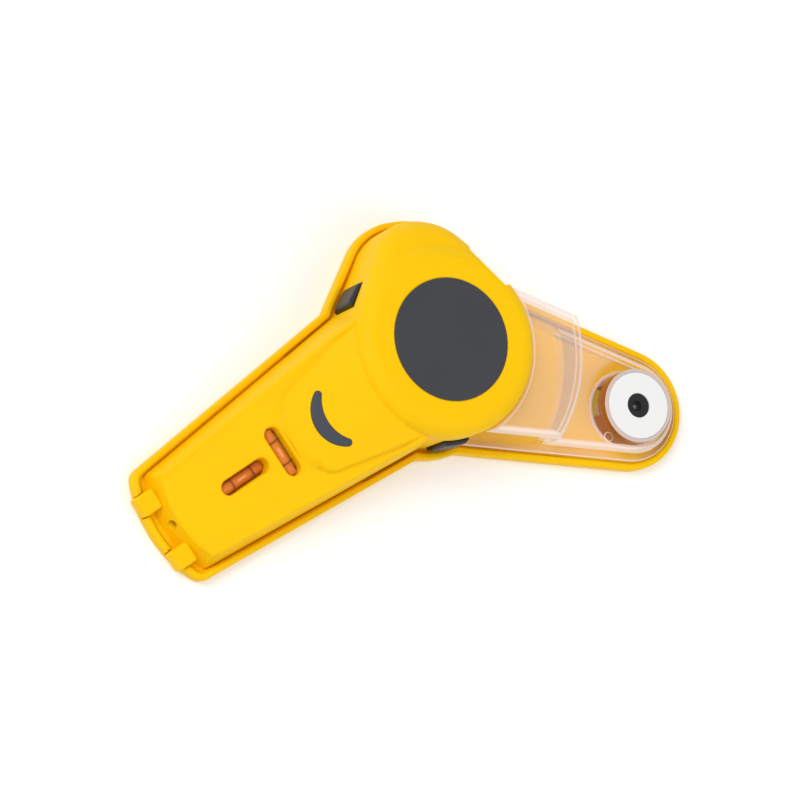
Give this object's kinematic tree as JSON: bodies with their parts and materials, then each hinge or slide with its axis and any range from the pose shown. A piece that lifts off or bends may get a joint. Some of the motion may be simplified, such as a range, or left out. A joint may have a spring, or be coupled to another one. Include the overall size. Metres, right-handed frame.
{
  "type": "drill dust collector",
  "caption": "Hand-held drill dust collector with a fan drum, a handle with spirit vials and a laser, and a clear lift-off dust box that guides the drill.",
  "frame": {"origin": "fan axis on the wall face", "axes": "+X from the handle to the fan drum, +Z away from the wall"},
  "size_m": [0.2556, 0.1613, 0.04],
  "materials": {
    "yellow_abs": "satin moulded",
    "slate_plastic": "matt",
    "black_foam": "closed-cell foam",
    "black_rubber": "matt",
    "clear_acrylic": "clear",
    "amber_fluid": "tinted",
    "spring_steel": "bright",
    "black_plastic": "matt",
    "clear_dust_box": "clear, polished",
    "white_plastic": "satin",
    "filter_felt": "felted",
    "plated_steel": "zinc plated",
    "brass": "bright",
    "ferrite": "dull",
    "ground_steel": "ground",
    "copper_winding": "lacquered",
    "cell_sleeve": "printed sleeve",
    "board_laminate": "solder mask",
    "lens_glass": "polished"
  },
  "bodies": {
    "housing": {"wall_plate": "yellow_abs", "wall_seal": "black_foam", "grip_pads": "black_rubber", "main_cover": "yellow_abs", "label_disc": "slate_plastic", "thumb_inlay": "slate_plastic", "axial_vial": "clear_acrylic", "axial_fluid": "amber_fluid", "cross_vial": "clear_acrylic", "cross_fluid": "amber_fluid", "vial_cradle": "yellow_abs", "fan_button_spring": "spring_steel", "laser_button_spring": "spring_steel", "fan_switch": "black_plastic", "laser_switch": "black_plastic", "filter_frame": "black_plastic", "filter_media": "filter_felt", "motor_deck": "black_plastic", "motor_can": "plated_steel", "motor_cap": "white_plastic", "motor_terminals": "brass", "motor_magnets": "ferrite", "motor_bushes": "brass", "motor_screws": "plated_steel", "battery_cradle": "black_plastic", "battery_cells": "cell_sleeve", "battery_springs": "spring_steel", "battery_plates": "plated_steel", "circuit_board": "board_laminate", "laser_barrel": "brass", "laser_lens": "lens_glass", "stack_screws": "plated_steel", "handle_screws": "plated_steel"},
    "rotor": {"motor_shaft": "ground_steel", "motor_armature": "copper_winding", "impeller": "white_plastic"},
    "fan_button": {"fan_button": "slate_plastic"},
    "laser_button": {"laser_button": "slate_plastic"},
    "battery_door": {"battery_door": "yellow_abs"},
    "dust_box": {"dust_box": "clear_dust_box", "guide_ring": "white_plastic", "drill_seal": "black_rubber"}
  },
  "joints": [
    {"name": "fan_spin", "type": "hinge", "parent": "housing", "child": "rotor", "pos_m": [0, 0, 0], "axis": [0, 0, 1], "continuous": true},
    {"name": "fan_button_press", "type": "slide", "parent": "housing", "child": "fan_button", "axis": [0.454, -0.891, 0], "range_m": [0, 0.0022], "stiffness_N_per_m": 400, "deforming": ["fan_button_spring"]},
    {"name": "laser_button_press", "type": "slide", "parent": "housing", "child": "laser_button", "axis": [0.3987, 0.9171, 0], "range_m": [0, 0.0022], "stiffness_N_per_m": 400, "deforming": ["laser_button_spring"]},
    {"name": "battery_door_off", "type": "slide", "parent": "housing", "child": "battery_door", "axis": [0, 0, -1], "range_m": [0, 0.03]},
    {"name": "dust_box_lift", "type": "slide", "parent": "housing", "child": "dust_box", "axis": [0, 0, 1], "range_m": [0, 0.05]}
  ]
}
